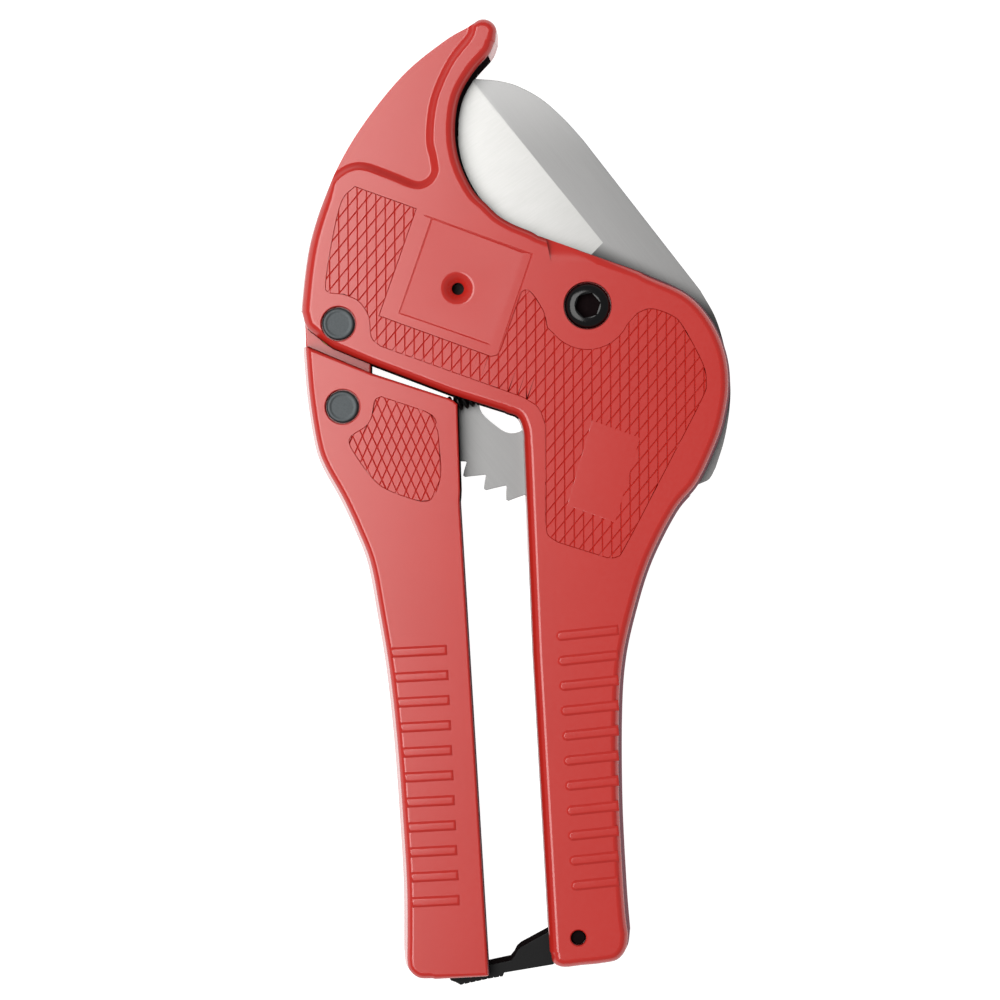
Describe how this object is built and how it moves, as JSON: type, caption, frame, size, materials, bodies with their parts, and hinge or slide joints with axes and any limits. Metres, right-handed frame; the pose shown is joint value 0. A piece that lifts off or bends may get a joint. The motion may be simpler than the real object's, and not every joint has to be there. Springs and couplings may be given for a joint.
{
  "type": "ratchet pipe cutter",
  "caption": "Hand-held ratchet pipe cutter with a hooked jaw, a pivoting curved blade, a sprung moving handle and a swinging latch, lying on its side.",
  "frame": {"origin": "middle of the tool's outline, on the flat rear face that it lies on", "axes": "+Y along the tool from the grips to the hook, +Z out of the front face through the thickness, +X towards the blade's spine"},
  "size_m": [0.0954, 0.2141, 0.0201],
  "materials": {
    "red_enamel": "semi-gloss",
    "ground_steel": "satin",
    "dark_steel": "satin",
    "black_oxide": "gloss",
    "bronze": "satin",
    "spring_steel": "satin",
    "black_nylon": "matte"
  },
  "bodies": {
    "body": {"body_frame": "red_enamel", "blade_pivot_screw": "black_oxide", "blade_pivot_nut": "black_oxide", "blade_pivot_bush": "bronze", "blade_washer_front": "ground_steel", "blade_washer_rear": "ground_steel", "handle_pivot_rivet": "dark_steel", "handle_rivet_collar": "dark_steel", "handle_washer_front": "bronze", "handle_washer_rear": "bronze", "latch_pin": "ground_steel", "return_spring": "spring_steel"},
    "handle": {"moving_handle": "red_enamel", "pawl_pivot_rivet": "dark_steel", "pawl_rivet_collar": "dark_steel", "pawl_spacer_front": "ground_steel", "pawl_spacer_rear": "ground_steel", "pawl_spring": "spring_steel"},
    "pawl": {"pawl": "ground_steel"},
    "blade": {"blade": "ground_steel"},
    "latch": {"latch_lever": "black_nylon"}
  },
  "joints": [
    {"name": "handle_squeeze", "type": "hinge", "parent": "body", "child": "handle", "pos_m": [-0.039, 0.039, 0.0095], "axis": [0, 0, 1], "range_deg": [-25, 0], "deforming": ["return_spring"]},
    {"name": "pawl_swing", "type": "hinge", "parent": "handle", "child": "pawl", "pos_m": [-0.0381, 0.0208, 0.0095], "axis": [0, 0, 1], "range_deg": [0, 39]},
    {"name": "blade_swing", "type": "hinge", "parent": "body", "child": "blade", "pos_m": [0.0157, 0.043, 0.0095], "axis": [0, 0, 1], "range_deg": [-75, 0]},
    {"name": "latch_swing", "type": "hinge", "parent": "body", "child": "latch", "pos_m": [0.0137, -0.0958, 0.0095], "axis": [0, 0, 1], "range_deg": [0, 75]}
  ],
  "couplings": [
    {"joint": "pawl_swing", "follows": "handle_squeeze", "ratio": -1.55}
  ]
}
